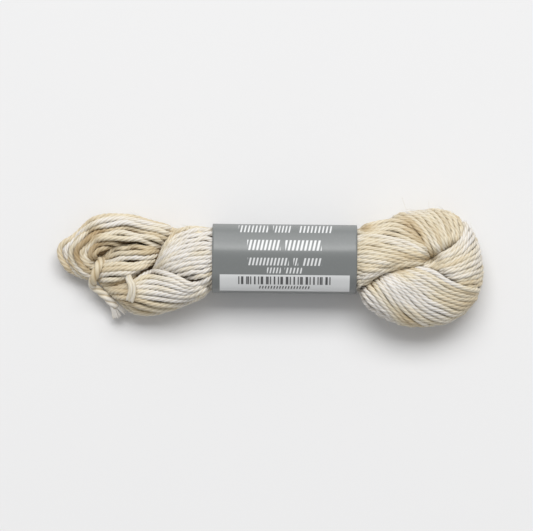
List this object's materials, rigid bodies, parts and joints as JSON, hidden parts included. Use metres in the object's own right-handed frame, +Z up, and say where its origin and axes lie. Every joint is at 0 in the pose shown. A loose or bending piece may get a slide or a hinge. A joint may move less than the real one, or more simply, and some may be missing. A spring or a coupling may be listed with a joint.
{
  "type": "skein of embroidery floss",
  "caption": "Twisted skein of hand-dyed silk floss, held round its middle by a plain grey paper band, with a thread tied round the loops at its far end.",
  "frame": {"origin": "middle of the skein's footprint, on the surface that it lies on", "axes": "+X along the skein from the tied loops to the twisted fold, +Z up from the surface"},
  "size_m": [0.1422, 0.0399, 0.0207],
  "materials": {
    "silk_thread": "plied silk dyed in runs of cream, sand and white, with a soft sheen",
    "tie_thread": "pale silk, soft sheen, cut ends",
    "grey_paper": "uncoated mid-grey paper with a white panel, softly creased"
  },
  "bodies": {
    "root": {"hank": "silk_thread", "band": "grey_paper", "tie": "tie_thread", "loose_end": "tie_thread"}
  },
  "joints": []
}
